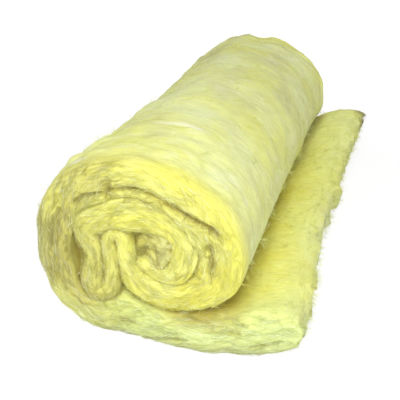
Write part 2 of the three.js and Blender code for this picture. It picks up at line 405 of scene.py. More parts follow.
def placeOnSection(station, direction, ringPoint, distance, length, plan):
    torn, tornRest, tornReach = roundingPlan["tornEdge"]
    end, endRest, endReach = roundingPlan["innerEdge"]
    thickness = station.z * min(1, torn + tornRest * math.sqrt(distance / tornReach),
                                end + endRest * math.sqrt((length - distance) / endReach))
    yShare, acrossShare, angle = ringPoint
    coverRadius, liningRadius = edgeRadii(distance, length, thickness, roundingPlan)
    radius = coverRadius if acrossShare > 0 else liningRadius
    insetFront, insetBack = edgeInsets(distance, length, edgePlan)
    half = plan["width"] / 2
    front, back = -half + insetFront + radius, half - insetBack - radius
    y = front + (back - front) * (yShare + 1) / 2 + radius * math.cos(math.radians(angle))
    coverPart = (thickness / 2 - coverRadius) * (1 + acrossShare)
    liningPart = (thickness / 2 - liningRadius) * (1 - acrossShare)
    across = (coverPart - liningPart) / 2
    across += radius * math.sin(math.radians(angle))
    across += swellAt(distance, min(y - front, back - y), length, acrossShare < 0, swellPlan) * acrossShare
    p = Vector((station.x - direction.y * across, y, station.y + direction.x * across - plan["floorSink"]))
    settle(p, settlePlan)
    tearAndCurl(p, distance, tearPlan)
    wound = ramp(distance, *plan["liningHidden" if acrossShare < 0 else "coverHidden"])
    inside = wound * (1 - ramp(distance, *[length - place for place in plan["eyeOpen"]]))
    return p, Vector((distance, y, across)), inside * ramp(min(y + half, half - y), *plan["hiddenDepth"])


def makeBlanket(plan):
    stations, length = routeStations(plan)
    ring = sectionRing(plan)
    last = len(stations) - 1
    bm = bmesh.new()
    bmesh.ops.create_grid(bm, x_segments=last, y_segments=len(ring), size=1)
    flat = bm.verts.layers.float_vector.new("flatPlace")
    flow = bm.verts.layers.float_vector.new("flow")
    # how deep each point lies in a pit, a split or wound in out of sight, for the shade painted there
    pitShade = bm.verts.layers.float.new("pitShade")
    for v in bm.verts:
        i = round((v.co.x + 1) / 2 * last)
        j = round((v.co.y + 1) / 2 * len(ring)) % len(ring)
        ahead = (stations[min(i + 1, last)] - stations[max(i - 1, 0)]).xy.normalized()
        v.co, place, v[pitShade] = placeOnSection(stations[i], ahead, ring[j], length * i / last, length, plan)
        v.co *= mm
        v[flat] = place * mm
        v[flow] = Vector((ahead.x, 0, ahead.y))
    bmesh.ops.remove_doubles(bm, verts=bm.verts, dist=1e-6)
    return bm


# its left side and its far end go where the CAD roll has them
def placeLikeCad(bm):
    left = min(v.co.x for v in bm.verts)
    farEnd = max(v.co.y for v in bm.verts)
    shift = Vector((cadBox[0][0] - left, cadBox[1][1] - farEnd, 0))
    bmesh.ops.translate(bm, verts=bm.verts, vec=shift)
    return shift


def capEnds(bm):
    openEdges = [e for e in bm.edges if e.is_boundary]
    bmesh.ops.holes_fill(bm, edges=openEdges, sides=0)
    bmesh.ops.triangulate(bm, faces=[f for f in bm.faces if len(f.verts) > 4])


# relief of the wool in millimetres: cell sizes, an offset that picks the pattern, and the depth; the
# cells run along, across the width and through the thickness, or along x, y and z for lumps and knobs
reliefPlan = {
    "lumps": ((62, 62, 62), 0, 2.4),
    "knobs": ((23, 23, 23), 23, 0.8),
    "skinKnobs": ((25, 13, 25), 41, 4.5),
    "clumps": ((46, 17, 9), 0, 1.0),
    "bundles": ((46, 60, 10), 31, 0.75),  # this and the next three on the cut edges only
    "layers": ((52, 40, 4.2), 11, 0.4),
    "crumbs": ((7, 7, 5), 53, 0.5),
    "eyeLumps": ((12, 12, 12), 71, 4),
    # the eye's specks are small dents, painted with pit shade
    "eyeSpecks": ((7, 7, 6), 91, 1.1),
    "ragged": ((46, 17, 9), 61, 0.7),  # how patchy the skin's patches are
    "cutPower": 1.5,  # how fast the edge relief fades round the rounding
    "cutShares": (0.55, 0.45, 130, 220),  # less of it on the free end
    "onCut": 0.2,
    "clumpsOffCut": 0.45,
    "skinSide": (4, 10),
    "skinSpan": (240, 300, 720, 780),
    "knobShares": (0.35, 0.65),  # more of them on the left and at the far end
    "knobLeft": (60, 115),
    "knobFar": (230, 290),
    "eyeStart": 1215,
    "eyeFull": 1230,
    "speckSharpness": (0.1, 0.4),
    "speckDepth": 2.5,
    "layerCrest": 0.45,
    "bundleShade": 0.7,
    "fullLow": 7,  # how deep a low counts as a full pit
    "fullSplit": 6,
    # painted shade on the far corner of the free end, where it curls up
    "tip": ((10, 26), (262, 284)),  # the grey far corner of the free end
    "tintedEdge": (262, 285),
}

# where the layers part, sunk in and painted with pit shade: points (distance, y, across), half width, depth,
# how much y and across count
splitPlans = [
    ([(474, -300, -9), (495, -300, -8), (512, -300, -10), (530, -300, -12)], 3.4, 5, 0.1, 1),
    ([(530, -300, -12), (547, -300, -11), (560, -300, -9), (572, -300, -5), (584, -300, 0), (598, -300, 7)],
     3.8, 7, 0.1, 1),
    ([(622, -300, 5), (650, -300, 3)], 3, 2.5, 0.1, 1),
    ([(467, -300, -1), (465, -300, -6)], 2.4, 6, 0.1, 1),
    ([(464, -300, -8), (459, -300, -16)], 5.6, 8, 0.1, 1),
    ([(454, -300, -13), (430, -300, -10), (408, -300, -12)], 2.2, 5, 0.1, 1),
    ([(375, -300, 4), (398, -300, 2), (419, -300, 4), (439, -300, 3)], 3, 2.5, 0.1, 1),
    ([(343, -300, -3), (365, -300, -2), (388, -300, -6)], 3, 4, 0.1, 1),
    ([(603, -300, -12), (635, -300, -12)], 3.6, 6, 0.1, 1),
    ([(176, -300, -6), (200, -300, -4)], 2, 5, 0.1, 1),
    ([(128, -300, 5), (150, -300, 8), (172, -300, 12)], 2, 5, 0.1, 1),
    ([(98, -300, -8), (70, -300, -4)], 2.2, 4, 0.1, 1),
    ([(56, -300, 11), (36, -300, 10), (16, -300, 7)], 2.2, 4.5, 0.1, 1),
    ([(54, -291, -20), (38, -281, -20), (22, -271, -20)], 1.8, 2.6, 1, 0.1),
]
splitEdge = {
    "behind": -262,  # splits reach no further back
    "margin": 6,  # and this far past their ends
    "wander": 0.4,  # of their sides, in half widths
    "cell": (5, 9, 5),
    "offsets": (17, 47),
}

# places on the skin that are fresher (above 0) or duller, those on the roll's right side being painted shade,
# and whitish wisps on it, partly a painted sheen: distance and y, half sizes along and across, how much
skinPlans = [
    ((500, -98), (34, 26), 0.5),
    ((512, 182), (34, 26), 0.45),
    ((455, 40), (26, 34), 0.25),
    ((420, -235), (40, 30), 0.35),
    # painted shade on the roll's right side, above where it meets the free end
    ((598, 140), (36, 90), -0.4),
    ((628, -10), (30, 70), -0.3),
    ((505, 262), (60, 30), -0.4),
    ((432, 120), (30, 150), -0.4),
]
# whitish wisps on the skin, partly a painted sheen
wispAndSheenPlans = [
    ((486, -186), (26, 7), 1),
    ((522, -180), (26, 8), 0.9),
    ((452, -150), (20, 10), 0.6),
    ((560, -120), (30, 14), 0.5),
    ((483, -252), (18, 12), 1.2),
    ((452, -240), (13, 10), 1),
    ((430, -274), (16, 14), 1.3),
]

# where the cut wool is fresher (above 0) or duller along the winding, some duller places being painted shade
# in the folds: from and to along the blanket, from and to through the thickness, how much
tintPlans = [
    ((1020, 1150), (-13, -2), 1),
    ((1040, 1165), (3, 14), -0.15),
    ((690, 775), (1, 16), 0.8),
    ((500, 665), (4, 19), 1),
    ((500, 640), (-16, -4), -0.4),
    ((290, 370), (-20, 20), -1),
    ((378, 432), (0, 9), 1),
    ((370, 400), (-20, -4), -0.9),
    ((400, 470), (-17, 17), -0.6),
    ((830, 990), (-15, 15), -0.45),
    ((1222, 1246), (-20, 20), -1),
    ((205, 240), (-16, 16), -0.4),
    # painted shade on the wall of the gap beside the outer turn
    ((240, 355), (-30, -7), -1),
    # painted shade on the lobe's slope down into the valley
    ((895, 985), (10, 40), -1),
]
tintFade = (15, 3)  # along the blanket and through the thickness


def patchAt(spot, plans):
    return sum(amount * math.exp(-((spot.x - x) / along) ** 2 - ((spot.y - y) / across) ** 2)
               for (x, y), (along, across), amount in plans)


# the sum of the tints at a place, each fading out over its border
def tintAt(spot, plans, fade):
    total = 0
    for (start, end), (low, high), amount in plans:
        if start - fade[0] < spot.x < end + fade[0]:
            along = window(spot.x, (start - fade[0], start + fade[0], end - fade[0], end + fade[0]))
            through = window(spot.z, (low - fade[1], low + fade[1], high - fade[1], high + fade[1]))
            total += amount * along * through
    return total


# how deep a place lies in any of the splits
def splitDepth(spot, splits, plan):
    deepest = 0
    for line, halfWidth, depth, yCount, acrossCount in splits:
        ends = (line[0].x, line[-1].x)
        if spot.x < min(ends) - plan["margin"] or spot.x > max(ends) + plan["margin"]:
            continue
        here = Vector((spot.x, spot.y * yCount, spot.z * acrossCount))
        aside, through = (cellNoise(spot, plan["cell"], offset) for offset in plan["offsets"])
        here += Vector((aside, 0, through)) * halfWidth * plan["wander"]
        for a, b in zip(line, line[1:]):
            nearest, share = geometry.intersect_point_line(here, a, b)
            nearest = a if share < 0 else b if share > 1 else nearest
            deepest = max(deepest, depth * math.exp(-((here - nearest).length / halfWidth) ** 2))
    return deepest


def bumps(p, row):
    cell, offset, depth = row
    return cellNoise(p, cell, offset) * depth


# the layers, bundles and crumbs of a cut edge, and how deep its lows are
def cutRelief(spot, co, plan):
    bundle = bumps(spot, plan["bundles"])
    cell, offset, depth = plan["layers"]
    layer = (plan["layerCrest"] - 2 * abs(cellNoise(spot, cell, offset))) * depth
    crumb = bumps(spot, plan["crumbs"])
    eyeLump = bumps(co, plan["eyeLumps"]) * ramp(spot.x, plan["eyeStart"], plan["eyeFull"])
    return bundle + layer + crumb + eyeLump, max(0, -(bundle * plan["bundleShade"] + layer))


def relief(bm, plan, splits, tints):
    bm.normal_update()
    tint = bm.verts.layers.float.new("tint")
    flat = bm.verts.layers.float_vector["flatPlace"]
    # lows, splits and the eye's specks add to the painted pit shade
    pitShade = bm.verts.layers.float["pitShade"]
    shade = bm.verts.layers.float.new("shade")
    scaled = []
    for line, halfWidth, depth, yCount, acrossCount in splits:
        points = [Vector((x, y * yCount, z * acrossCount)) for x, y, z in line]
        scaled.append((points, halfWidth, depth, yCount, acrossCount))
    tailShare, woundShare, *woundSpan = plan["cutShares"]
    leastKnobs, moreKnobs = plan["knobShares"]
    speckCell, speckOffset, speckShare = plan["eyeSpecks"]
    raggedCell, raggedOffset, raggedBase = plan["ragged"]
    moves = []
    for v in bm.verts:
        spot = v[flat] / mm
        co = v.co / mm
        cut = abs(v.normal.y) ** plan["cutPower"] * (tailShare + woundShare * ramp(spot.x, *woundSpan))
        move = bumps(co, plan["lumps"]) + bumps(co, plan["knobs"])
        move += bumps(spot, plan["clumps"]) * (1 if cut > plan["onCut"] else plan["clumpsOffCut"])
        onCover = ramp(spot.z, *plan["skinSide"])
        skin = window(spot.x, plan["skinSpan"], onCover) * (1 - abs(v.normal.y))
        rough = leastKnobs + moreKnobs * max(ramp(-v.co.x / mm, *plan["knobLeft"]),
                                             ramp(v.co.y / mm, *plan["knobFar"]))
        move += skin * rough * bumps(co, plan["skinKnobs"])
        low = 0
        if spot.x > plan["eyeStart"]:
            low = ramp(cellNoise(spot, speckCell, speckOffset), *plan["speckSharpness"]) * speckShare
            move -= plan["speckDepth"] * low
        if cut > 0.01:
            bulge, sunk = cutRelief(spot, co, plan)
            move += cut * bulge
            low += cut * sunk / plan["fullLow"]
        split = splitDepth(spot, scaled, splitEdge) if spot.y < splitEdge["behind"] else 0
        v[pitShade] = min(1, max(v[pitShade], low + split / plan["fullSplit"]))
        ragged = raggedBase + cellNoise(spot, raggedCell, raggedOffset)
        v[shade] = 0.5 + 0.5 * min(1, skin * ragged * patchAt(spot, wispAndSheenPlans))
        # the painted shade on the far corner of the free end
        tip = (1 - ramp(spot.x, *plan["tip"][0])) * ramp(spot.y, *plan["tip"][1])
        edgeTint = max(tintAt(spot, tints, tintFade), -1) * ramp(abs(spot.y), *plan["tintedEdge"])
        v[tint] = edgeTint - 2 * tip
        v[tint] += skin * ragged * patchAt(spot, skinPlans)
        moves.append(move - split)
    for v, move in zip(bm.verts, moves):
        v.co += v.normal * move * mm
        v.co.z = max(v.co.z, 0)


hollowPlan = {
    "reach": 40 * mm,
    "lift": 0.5,  # where the rays start, in millimetres above the wool
    "rays": 14,
    "quickRays": 8,
}


# how shut in each point is, from 0 in the open to 1 deep in a fold, for the shade painted in the hollows
def shadeHollows(bm, plan):
    rays = plan["rays"]
    bm.normal_update()
    tree = BVHTree.FromBMesh(bm)
    hollow = bm.verts.layers.float.new("hollow")
    golden = math.pi * (3 - math.sqrt(5))
    sphere = []
    for k in range(rays):
        up = 1 - (k + 0.5) / rays
        flatRadius = math.sqrt(1 - up * up)
        sphere.append(Vector((math.cos(golden * k) * flatRadius, math.sin(golden * k) * flatRadius, up)))
    for v in bm.verts:
        turnTo = Vector((0, 0, 1)).rotation_difference(v.normal)
        start = v.co + v.normal * plan["lift"] * mm
        closed = 0
        for ray in sphere:
            hit = tree.ray_cast(start, turnTo @ ray, plan["reach"])[3]
            if hit is not None:
                closed += 1 - hit / plan["reach"]
        v[hollow] = closed / rays


def finishMesh(bm, name, material):
    for f in bm.faces:
        f.smooth = True
    mesh = bpy.data.meshes.new(name)
    bm.to_mesh(mesh)
    bm.free()
    mesh.materials.append(material)
    return addObject(name, mesh)


# the wool's colours, linear, laid over yellow one after the other. Zones and layers are products of
# shares: a source, from and to in that source, then from and to which share. Along, width and depth
# are places on the blanket laid flat, and x and z places in the room, in metres
woolPlan = {
    "colours": {
        "yellow": (0.77, 0.78, 0.25, 1),
        "pale": (0.79, 0.84, 0.41, 1),
        "fresh": (0.87, 0.86, 0.18, 1),
        "deep": (0.80, 0.75, 0.13, 1),
        # olive, khaki, amber and brown are painted shade, for the hollows, pits, splits and the valley under
        # the roll
        "oliveShade": (0.60, 0.54, 0.12, 1),
        "khakiShade": (0.47, 0.39, 0.07, 1),
        "amber": (0.58, 0.50, 0.08, 1),
        "brownShade": (0.36, 0.29, 0.06, 1),
        "grey": (0.62, 0.63, 0.33, 1),
        "green": (0.62, 0.70, 0.28, 1),
        "dull": (0.51, 0.48, 0.14, 1),
        "fleck": (0.92, 0.94, 0.66, 1),
        # painted shade near the floor, and on the far corner of the free end
        "floorShade": (0.42, 0.44, 0.20, 1),
        "shaded": (0.34, 0.33, 0.18, 1),
    },
    # cells to the metre, offset, turned by, detail, roughness, curl
    "roomNoises": {
        "patches": ((10, 10, 10), (0, 0, 0), (0, 0, 0), 3, 0.55, 0),
        "warmth": ((26, 26, 26), (8, 2, 5), (0, 0, 0), 2, 0.55, 0),
        "greys": ((14, 9, 14), (4, 1, 7), (0, 0, 0), 2, 0.55, 0),
    },
    "flatNoises": {  # these follow the blanket, as its fibres do
        "wisps": ((26, 40, 60), (3, 0, 0), (0, 0, 0.6), 7, 0.62, 1.3),
        "streaks": ((60, 420, 900), (0, 0, 0), (0, 0, -0.3), 4, 0.6, 0.5),
        "crossing": ((90, 560, 900), (0, 0, 0), (0, 0, 0.7), 5, 0.7, 0.6),
    },
    "zones": {
        "cut": (("width", -0.255, -0.288), ("along", 0.17, 0.33)),  # the edge of the open end
        "inward": (("width", -0.285, -0.235),),
        "lining": (("depth", -0.006, -0.016), ("along", 0.36, 0.3)),  # what shows of it
        "bare": (("lining",), ("along", 0.16, 0.12)),  # and of that on the free end
    },
    "layers": (
        ("pale", ("patches", 0.38, 0.66)),
        ("grey", ("greys", 0.5, 0.75, 0, 0.7), ("cut", 0, 1, 1, 0.4)),
        ("fleck", ("wisps", 0.54, 0.8, 0, 0.62), ("cut", 0, 1, 1, 0.4)),
        ("deep", ("cut",), ("patches", 0.56, 0.66, 0, 0.8)),
        ("fresh", ("cut", 0, 1, 0, 0.55)),
        ("green", ("width", -0.225, -0.275), ("along", 0.27, 0.2, 0, 0.65)),
        # the lining, yellower towards the roll, with painted shade, khaki and brown, in the valley where they
        # meet
        ("fresh", ("lining",), ("along", 0.01, 0.09, 0.4, 0.85), ("inward", 0, 1, 0.3, 1)),
        ("deep", ("bare",), ("inward",), ("along", 0.02, 0.075), ("warmth", 0.42, 0.58, 0.1, 0.9)),
        # painted shade in the valley under the roll
        ("khakiShade", ("bare",), ("along", 0.06, 0.086, 0, 0.9), ("greys", 0.4, 0.6, 0.4, 1)),
        ("khakiShade", ("bare",), ("hollow", 0.13, 0.34, 0, 0.95)),
        ("brownShade", ("bare",), ("hollow", 0.3, 0.52, 0, 0.75)),
        ("pale", ("bare",), ("width", 0, 0.25, 0, 0.45)),
        ("fresh", ("tint", 0.1, 1, 0, 0.8)),
        ("dull", ("tint", -0.1, -1, 0, 0.8)),
        ("shaded", ("tint", -1, -2, 0, 0.8)),
        # the eye, then painted shade in the hollows and the pits
        ("dull", ("along", 1.215, 1.24, 0, 0.25)),
        ("grey", ("along", 1.245, 1.26, 0, 0.55)),
        ("shadow", ("hollow", 0.2, 0.7, 0, 0.6)),
        # painted shade in the pits, olive and then khaki
        ("oliveShade", ("pitShade", 0.2, 1, 0, 0.6)),
        ("khakiShade", ("pitShade", 0.7, 1, 0, 0.9)),
        # painted shade deep in the hollows, khaki and then brown
        ("khakiShade", ("hollow", 0.5, 0.75, 0, 0.7)),
        ("brownShade", ("hollow", 0.68, 0.9, 0, 0.6)),
        # painted shade on the left side and near the floor, then the wisps and the palest strands
        # painted shade, darker and greyer towards the left
        ("dull", ("cut",), ("x", -0.075, -0.11, 0, 0.3), ("x", -0.155, -0.135)),
        ("grey", ("x", -0.13, -0.158, 0, 0.55)),
        # painted shade low down, where the wool nears the floor
        ("floorShade", ("z", 0.014, 0.002, 0, 0.75)),
        ("fleck", ("shade", 0.84, 1, 0, 0.7)),
    ),
    "amberShare": (("warmth", 0.5, 0.6), ("along", 0.3, 0.4)),  # of amber in the shadow, over olive
    "swing": (("fibres", 0.7, 1.3, -0.13, 0.13), ("cut", 0, 1, 1, 1.7)),  # light and dark fibres
    "cutLight": (0, 1, 1, 0.895),
    "redPower": 0.85,  # the darks are warmer
    "bluePower": 1.35,
    "bump": {"Strength": 0.3, "Distance": 1.0 * mm},
    "surface": {
        "Roughness": 0.95,
        "Specular IOR Level": 0.1,
        "Subsurface Radius": (1.0, 0.95, 0.4),
        "Subsurface Scale": 6 * mm,
    },
}


def setInputs(tree, node, inputs):
    for key, value in inputs.items():
        if isinstance(value, bpy.types.NodeSocket):
            tree.links.new(value, node.inputs[key])
        else:
            node.inputs[key].default_value = value


def addNode(tree, kind, inputs=None, **settings):
    node = tree.nodes.new(kind)
    for key, value in settings.items():
        setattr(node, key, value)
    setInputs(tree, node, inputs or {})
    return node


def stretchedNoise(tree, vector, scale, offset, turned, detail, roughness, curl):
    mapping = addNode(tree, "ShaderNodeMapping", {
        "Vector": vector, "Scale": scale, "Location": offset, "Rotation": turned}).outputs["Vector"]
    texture = addNode(tree, "ShaderNodeTexNoise", {
        "Vector": mapping, "Scale": 1, "Detail": detail, "Roughness": roughness, "Distortion": curl})
    return texture.outputs["Fac"]


def remap(tree, value, low, high, toLow=0, toHigh=1):
    node = addNode(tree, "ShaderNodeMapRange", {
        "Value": value, "From Min": low, "From Max": high, "To Min": toLow, "To Max": toHigh})
    return node.outputs["Result"]


def calculate(tree, operation, a, b):
    return addNode(tree, "ShaderNodeMath", {0: a, 1: b}, operation=operation).outputs["Value"]


def blendColours(tree, factor, a, b, mode="MIX"):
    inputs = {0: factor, 6: a, 7: b}
    return addNode(tree, "ShaderNodeMix", inputs, data_type="RGBA", blend_type=mode).outputs[2]


# the product of some shares of the sources
def product(tree, sources, rows):
    result = None
    for key, *span in rows:
        share = remap(tree, sources[key], *span) if span else sources[key]
        result = share if result is None else calculate(tree, "MULTIPLY", result, share)
    return result


def woolMaterial(name, plan, glow, toneSpread):
    material = bpy.data.materials.new(name)
    material.use_nodes = True
    tree = material.node_tree
    place = addNode(tree, "ShaderNodeTexCoord").outputs["Object"]
    flat = addNode(tree, "ShaderNodeAttribute", attribute_name="flatPlace").outputs["Vector"]
    room, parts = (addNode(tree, "ShaderNodeSeparateXYZ", {"Vector": v}).outputs for v in (place, flat))
    sources = {"x": room["X"], "z": room["Z"], "along": parts["X"], "width": parts["Y"], "depth": parts["Z"]}
    for key in ("hollow", "pitShade", "shade", "tint"):
        sources[key] = addNode(tree, "ShaderNodeAttribute", attribute_name=key).outputs["Fac"]
    for vector, noises in ((place, plan["roomNoises"]), (flat, plan["flatNoises"])):
        for key, row in noises.items():
            sources[key] = stretchedNoise(tree, vector, *row)
    sources["fibres"] = calculate(tree, "ADD", sources["streaks"], sources["crossing"])
    for key, rows in plan["zones"].items():
        sources[key] = product(tree, sources, rows)
    colours = dict(plan["colours"])
    amberShare = product(tree, sources, plan["amberShare"])
    colours["shadow"] = blendColours(tree, amberShare, colours["oliveShade"], colours["amber"])
    colour = colours["yellow"]
    for key, *rows in plan["layers"]:
        colour = blendColours(tree, product(tree, sources, rows), colour, colours[key])
    light = calculate(tree, "ADD", 1.0, product(tree, sources, plan["swing"]))
    light = calculate(tree, "MULTIPLY", light, remap(tree, sources["cut"], *plan["cutLight"]))
    strand = remap(tree, sources["shade"], 0, 1, 1 - toneSpread, 1 + toneSpread)
    light = calculate(tree, "MULTIPLY", light, strand)
    tone = addNode(tree, "ShaderNodeCombineColor", {
        "Red": calculate(tree, "POWER", light, plan["redPower"]), "Green": light,
        "Blue": calculate(tree, "POWER", light, plan["bluePower"])}).outputs["Color"]
    colour = blendColours(tree, 1.0, colour, tone, "MULTIPLY")
    bump = addNode(tree, "ShaderNodeBump", {"Height": sources["fibres"], **plan["bump"]}).outputs["Normal"]
    setInputs(tree, tree.nodes["Principled BSDF"], {
        "Base Color": colour, "Normal": bump, "Subsurface Weight": glow, **plan["surface"]})
    return material


# loose fibres in millimetres, in locks that lie together: lean and spread are the angle off the
# winding, fan turns those high on the left of the open end, rise is how far the tips stand out,
# follow is how much they turn with the winding, and scatter is set where they stick out as tufts
strandPlans = {
    "skinStrands": {
        "locks": 2400, "perLock": 4, "segments": 2, "length": (12, 40), "radius": (0.06, 0.16),
        "lean": 12, "spread": 80, "follow": 0.2, "rise": (0.05, 0.8),
        "wild": 0.27, "wildRise": (1.5, 7), "tone": 0.6, "contrast": 0.15, "seed": 11,
    },
    "frontStrands": {
        "locks": 2320, "perLock": 6, "segments": 2, "length": (8, 27), "radius": (0.06, 0.19),
        "lean": 0, "fan": 22, "spread": 50, "follow": 0.35, "rise": (0.2, 2.2),
        "wild": 0.14, "wildRise": (2, 6), "tone": 0.64, "contrast": 1.15, "seed": 12,
    },
    "creaseStrands": {
        "locks": 850, "perLock": 3, "segments": 3, "length": (6, 18), "radius": (0.08, 0.24),
        "lean": 0, "spread": 180, "rise": (0.5, 3.5),
        "wild": 0.4, "wildRise": (2, 5), "tone": 0.5, "contrast": 0.9, "seed": 15,
    },
    "valleyStrands": {
        "locks": 1000, "perLock": 3, "segments": 3, "length": (10, 30), "radius": (0.06, 0.18),
        "lean": 60, "spread": 180, "rise": (0.5, 4),
        "wild": 0.4, "wildRise": (2, 8), "tone": 0.45, "contrast": 0.9, "seed": 17,
    },
    "backStrands": {
        "locks": 750, "perLock": 6, "segments": 3, "length": (10, 36), "radius": (0.12, 0.38),
        "lean": 0, "spread": 40, "follow": 0.4, "rise": (0.2, 2.4),
        "wild": 0.14, "wildRise": (2, 6), "tone": 0.5, "contrast": 0.9, "seed": 13,
    },
    "tailStrands": {
        "locks": 2200, "perLock": 4, "segments": 2, "length": (12, 34), "radius": (0.06, 0.18),
        "lean": 60, "spread": 60, "rise": (0.1, 0.9),
        "wild": 0.1, "wildRise": (2, 6), "tone": 0.66, "contrast": 0.5, "seed": 14,
    },
    "tuftStrands": {
        "locks": 1150, "perLock": 6, "segments": 3, "length": (3, 13), "radius": (0.05, 0.14),
        "lean": 0, "spread": 360, "rise": (0, 0),
        "wild": 0, "wildRise": (0, 0), "tone": 0.6, "contrast": 0.5, "seed": 16, "scatter": 0.8,
    },
}

# where each set is rooted, in millimetres along the blanket from its torn edge
fieldPlan = {
    "endFacing": 0.55,  # how squarely a face of an end looks along the roll
    "tailLength": 330,
    "shut": 0.92,  # hollow above which nothing grows
    "downward": -0.6,
    "floorGap": 6,  # nothing grows on what looks down this close to the floor
    "thinning": 0.7,
    "creases": (0.3, 0.85),  # hollow where the creases and the valley have their own sets
    "tuftShut": 0.35,
    "tornLength": 14,
    "tornFacing": 0.3,
    "shoulder": (600, 700),  # the top of the outer turn, where more tufts stick out
    "tuftShares": (1, 0.12, 0.03),
}

# how the strands of one lock differ, in millimetres and degrees
lockPlan = {
    "fanSpan": (330, 380, 455, 490),
    "bunched": (1215, 1240),  # in the eye the locks lie every way
    "bunchedSpread": 150,
    "apart": (3, 0.9),  # along and across the lock
    "tuftApart": (2, 2),
    "lockTone": 0.08,
    "strandTone": 0.32,
    "toneLimit": 0.5,
    "rootGirth": 0.5,
    "gather": (-1.5, 1),  # how far a tuft's strand makes for the shared tip
    "turn": 6,
    "lengths": (0.6, 1.1),
    "rises": (0.7, 1.2),
}

# how a strand wanders as it grows
growthPlan = {
    "drift": 0.35,  # tufts, sideways and then upwards
    "climb": (-0.1, 0.3),
    "arch": 0.6,
    "archBase": 0.1,
    "spreadLimit": 60,
    "bend": 5,
    "floorGap": 0.3,
    "thinFrom": 0.9,
    "tipGirth": 0.25,
}


# which set of strands a face belongs to
def strandField(face, distance, plan):
    if face.normal.y < -plan["endFacing"]:
        return "frontStrands"
    if face.normal.y > plan["endFacing"]:
        return "backStrands"
    return "tailStrands" if distance < plan["tailLength"] * mm else "skinStrands"


def sortFaces(bm, plan):
    flat = bm.verts.layers.float_vector["flatPlace"]
    hollow = bm.verts.layers.float["hollow"]
    fields = {name: ([], []) for name in strandPlans}
    onTorn, onShoulder, elsewhere = plan["tuftShares"]

    def add(name, face, weight):
        fields[name][0].append(face)
        fields[name][1].append(weight)

    for face in bm.faces:
        corner = face.verts[0]
        shut = corner[hollow]
        underneath = face.normal.z < plan["downward"] and corner.co.z < plan["floorGap"] * mm
        if shut > plan["shut"] or underneath:
            continue
        name = strandField(face, corner[flat].x, plan)
        area = face.calc_area()
        add(name, face, area * (1 - plan["thinning"] * shut))
        if plan["creases"][0] < shut < plan["creases"][1] and name != "backStrands":
            add("creaseStrands" if name == "frontStrands" else "valleyStrands", face, area)
        if shut < plan["tuftShut"]:
            distance = corner[flat].x / mm
            torn = distance < plan["tornLength"] and face.normal.x > plan["tornFacing"]
            shoulder = plan["shoulder"][0] < distance < plan["shoulder"][1]
            add("tuftStrands", face, area * (onTorn if torn else onShoulder if shoulder else elsewhere))
    return fields


def randomPlace(face, rng):
    shares = [rng.random() for v in face.verts]
    total = sum(shares)
    return sum((v.co * share for v, share in zip(face.verts, shares)), Vector()) / total


# one lock: strands side by side from about one root, with nearly one heading, tone and lift;
# a tuft's strands lean together towards one tip out in the air
def rootLock(bm, tree, face, strands, layers, plan, rng):
    flat = bm.verts.layers.float_vector["flatPlace"]
    flow = bm.verts.layers.float_vector["flow"]
    girth, shade, copied = layers
    side = rng.choice((-1, 1))
    distance = face.verts[0][flat].x / mm
    fan = window(distance, lockPlan["fanSpan"], plan.get("fan", 0))
    bunched = ramp(distance, *lockPlan["bunched"])
    angle = rng.gauss(plan["lean"] + fan, plan["spread"] / 2 + lockPlan["bunchedSpread"] * bunched)
    heading = face.verts[0][flow] * side
    heading.rotate(Quaternion(face.normal, math.radians(angle)))
    sideways = face.normal.cross(heading)
    root = randomPlace(face, rng)
    tone = rng.random()
    wild = rng.random() < plan["wild"]
    rise = rng.uniform(*plan["wildRise"]) if wild else rng.uniform(*plan["rise"])
    length = rng.uniform(*plan["length"])
    scatter = plan.get("scatter")
    reach = (face.normal + heading * rng.gauss(0, scatter)).normalized() * length if scatter else None
    forward, across = lockPlan["tuftApart"] if scatter else lockPlan["apart"]
    limit = lockPlan["toneLimit"]
    lock = []
    for k in range(plan["perLock"]):
        offset = heading * rng.gauss(0, forward) + sideways * rng.gauss(0, across)
        place, normal, index, gap = tree.find_nearest(root + offset * mm)
        tip = strands.verts.new(place)
        spot = lockPlan["lockTone"] * (tone - 0.5) + rng.gauss(0, lockPlan["strandTone"])
        tip[shade] = plan["tone"] + plan["contrast"] * min(max(spot, -limit), limit)
        for source, target in copied:
            tip[target] = bm.faces[index].verts[0][source]
        radius = rng.uniform(*plan["radius"]) * mm
        tip[girth] = radius * lockPlan["rootGirth"]
        own = (reach - offset * rng.uniform(*lockPlan["gather"])).normalized() if scatter else heading.copy()
        own.rotate(Quaternion(normal, math.radians(rng.gauss(0, lockPlan["turn"]))))
        stride = length * rng.uniform(*lockPlan["lengths"]) * mm / plan["segments"]
        lift = rise * rng.uniform(*lockPlan["rises"]) * mm
        follow = plan.get("follow", 0) * (1 - bunched)
        lock.append((tip, [own, stride, lift, radius, side, wild, follow]))
    return lock


